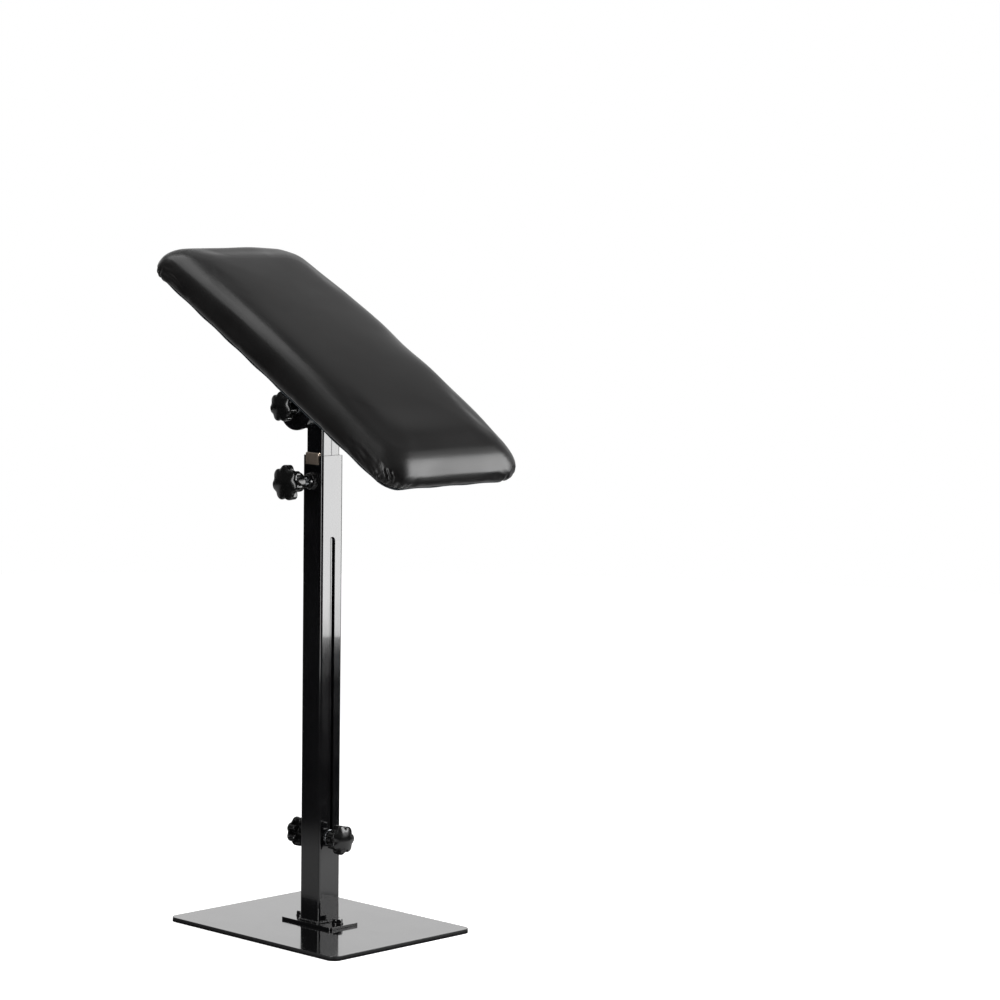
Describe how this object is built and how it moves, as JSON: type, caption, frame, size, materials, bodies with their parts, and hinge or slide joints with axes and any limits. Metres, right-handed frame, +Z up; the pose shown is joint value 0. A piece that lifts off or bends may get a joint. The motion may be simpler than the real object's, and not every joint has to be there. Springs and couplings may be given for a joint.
{
  "type": "tattoo arm rest stand",
  "caption": "Padded arm rest on a telescoping square column with a flat base; its height and tilt are set by star knobs.",
  "frame": {"origin": "centre of the base plate's underside, on the column's centre line", "axes": "+Z up along the column; -Y is the side that the pad slopes down to; -X is the side of the clamp knob and the tilt knob; the tilt axis runs along X"},
  "size_m": [0.205, 0.376, 0.7216],
  "materials": {
    "gloss_black_paint": "gloss",
    "black_leather": "satin",
    "underside_lining": "satin",
    "black_knob_plastic": "gloss",
    "black_plug_plastic": "matte",
    "zinc_plated_steel": "bright",
    "bare_steel_strip": "satin",
    "brass_insert": "satin",
    "plywood": "raw",
    "foam": "open cell"
  },
  "bodies": {
    "base": {"base_plate": "gloss_black_paint", "column_flange": "gloss_black_paint", "outer_tube": "gloss_black_paint", "foot_weld": "gloss_black_paint", "flange_bolts": "gloss_black_paint", "flange_washers": "gloss_black_paint", "clamp_nut": "gloss_black_paint", "clamp_nut_weld": "gloss_black_paint", "pressure_strip": "bare_steel_strip"},
    "clamp_screw": {"clamp_stud": "zinc_plated_steel"},
    "clamp_grip": {"clamp_knob": "black_knob_plastic"},
    "mast": {"inner_tube": "gloss_black_paint", "mast_top_plug": "black_plug_plastic", "fixed_disc": "gloss_black_paint", "fixed_disc_weld": "gloss_black_paint", "tilt_bolt": "zinc_plated_steel", "lower_stud": "zinc_plated_steel"},
    "front_nut": {"front_washer": "zinc_plated_steel"},
    "front_grip": {"front_knob": "black_knob_plastic", "front_knob_insert": "brass_insert"},
    "rear_nut": {"rear_washer": "zinc_plated_steel"},
    "rear_grip": {"rear_knob": "black_knob_plastic", "rear_knob_insert": "brass_insert"},
    "head": {"pad_bracket": "gloss_black_paint", "moving_disc": "gloss_black_paint", "moving_disc_weld": "gloss_black_paint", "bracket_screws": "zinc_plated_steel", "board_nuts": "zinc_plated_steel", "pad_board": "plywood", "pad_foam": "foam", "pad_cover": "black_leather", "pad_lining": "underside_lining", "staples": "zinc_plated_steel"},
    "tilt_nut": {"tilt_washer": "zinc_plated_steel"},
    "tilt_grip": {"tilt_knob": "black_knob_plastic", "tilt_knob_insert": "brass_insert"}
  },
  "joints": [
    {"name": "height_slide", "type": "slide", "parent": "base", "child": "mast", "axis": [0, 0, 1], "range_m": [0, 0.316]},
    {"name": "pad_tilt", "type": "hinge", "parent": "mast", "child": "head", "pos_m": [0, 0, 0.559], "axis": [1, 0, 0], "range_deg": [-120, 60]},
    {"name": "clamp_knob_travel", "type": "slide", "parent": "base", "child": "clamp_screw", "axis": [-1, 0, 0], "range_m": [0, 0.00375]},
    {"name": "clamp_knob_turn", "type": "hinge", "parent": "clamp_screw", "child": "clamp_grip", "pos_m": [-0.04, 0, 0.479], "axis": [-1, 0, 0], "range_deg": [0, 1080]},
    {"name": "front_knob_travel", "type": "slide", "parent": "mast", "child": "front_nut", "axis": [0, -1, 0], "range_m": [0, 0.00375]},
    {"name": "front_knob_turn", "type": "hinge", "parent": "front_nut", "child": "front_grip", "pos_m": [0, -0.02, 0.099], "axis": [0, -1, 0], "range_deg": [0, 1080]},
    {"name": "rear_knob_travel", "type": "slide", "parent": "mast", "child": "rear_nut", "axis": [0, 1, 0], "range_m": [0, 0.00375]},
    {"name": "rear_knob_turn", "type": "hinge", "parent": "rear_nut", "child": "rear_grip", "pos_m": [0, 0.02, 0.099], "axis": [0, 1, 0], "range_deg": [0, 1080]},
    {"name": "tilt_knob_travel", "type": "slide", "parent": "mast", "child": "tilt_nut", "axis": [-1, 0, 0], "range_m": [0, 0.00375]},
    {"name": "tilt_knob_turn", "type": "hinge", "parent": "tilt_nut", "child": "tilt_grip", "pos_m": [-0.045, 0, 0.559], "axis": [-1, 0, 0], "range_deg": [0, 1080]}
  ],
  "couplings": [
    {"joint": "clamp_knob_travel", "follows": "clamp_knob_turn", "m_per_rad": 0.00019894},
    {"joint": "front_knob_travel", "follows": "front_knob_turn", "m_per_rad": 0.00019894},
    {"joint": "rear_knob_travel", "follows": "rear_knob_turn", "m_per_rad": 0.00019894},
    {"joint": "tilt_knob_travel", "follows": "tilt_knob_turn", "m_per_rad": 0.00019894}
  ]
}
